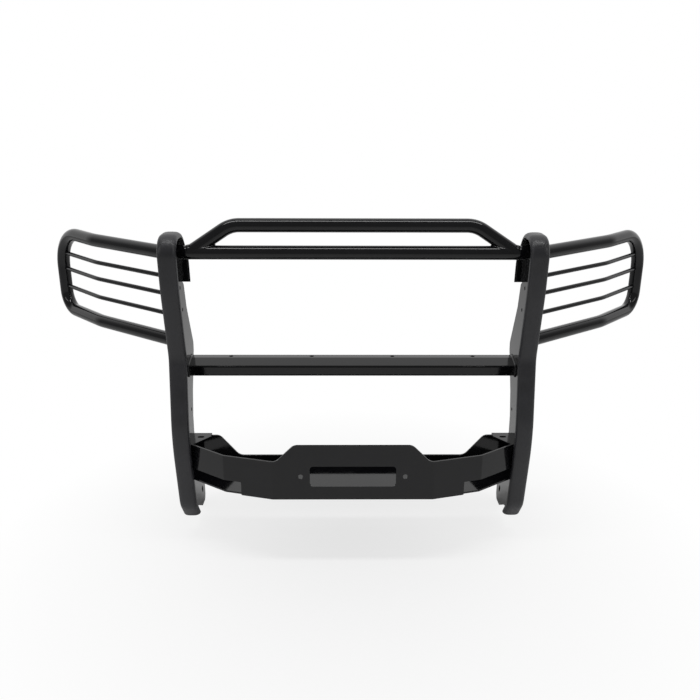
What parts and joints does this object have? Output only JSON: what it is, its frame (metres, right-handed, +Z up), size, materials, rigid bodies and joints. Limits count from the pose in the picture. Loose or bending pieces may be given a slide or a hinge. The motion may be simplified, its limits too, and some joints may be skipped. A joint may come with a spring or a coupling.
{
  "type": "front grille guard",
  "caption": "Welded front grille guard for a pickup truck: rubber-faced uprights, a tube hoop, headlight wings, a folded crossbar and a built-in winch tray with a fairlead slot.",
  "frame": {"origin": "midway between the two fairlead bolt holes, on the front face of the winch face plate", "axes": "+X to the right as seen from the front, +Y towards the truck, +Z up"},
  "size_m": [1.6424, 0.4699, 0.8434],
  "materials": {
    "powder_coat": "gloss black powder coat over steel",
    "rubber": "satin black extruded rubber"
  },
  "bodies": {
    "root": {"riser_plate_left": "powder_coat", "riser_plate_right": "powder_coat", "upright_bar_left": "powder_coat", "upright_bar_right": "powder_coat", "upright_cover_left": "rubber", "upright_cover_right": "rubber", "lower_cross_tube": "powder_coat", "hoop_tube": "powder_coat", "hoop_weld_left": "powder_coat", "hoop_weld_right": "powder_coat", "cross_tube_weld_left": "powder_coat", "cross_tube_weld_right": "powder_coat", "wing_frame_left": "powder_coat", "wing_frame_right": "powder_coat", "wing_weld_left": "powder_coat", "wing_weld_right": "powder_coat", "wing_rod_upper_left": "powder_coat", "wing_rod_upper_right": "powder_coat", "wing_rod_middle_left": "powder_coat", "wing_rod_middle_right": "powder_coat", "wing_rod_lower_left": "powder_coat", "wing_rod_lower_right": "powder_coat", "crossbar": "powder_coat", "crossbar_weld_left": "powder_coat", "crossbar_weld_right": "powder_coat", "winch_face_plate": "powder_coat", "tray_floor": "powder_coat", "tray_rear_wall": "powder_coat", "gusset_left": "powder_coat", "gusset_right": "powder_coat", "tray_weld_stitches": "powder_coat", "tray_end_weld_left": "powder_coat", "tray_end_weld_right": "powder_coat"}
  },
  "joints": []
}
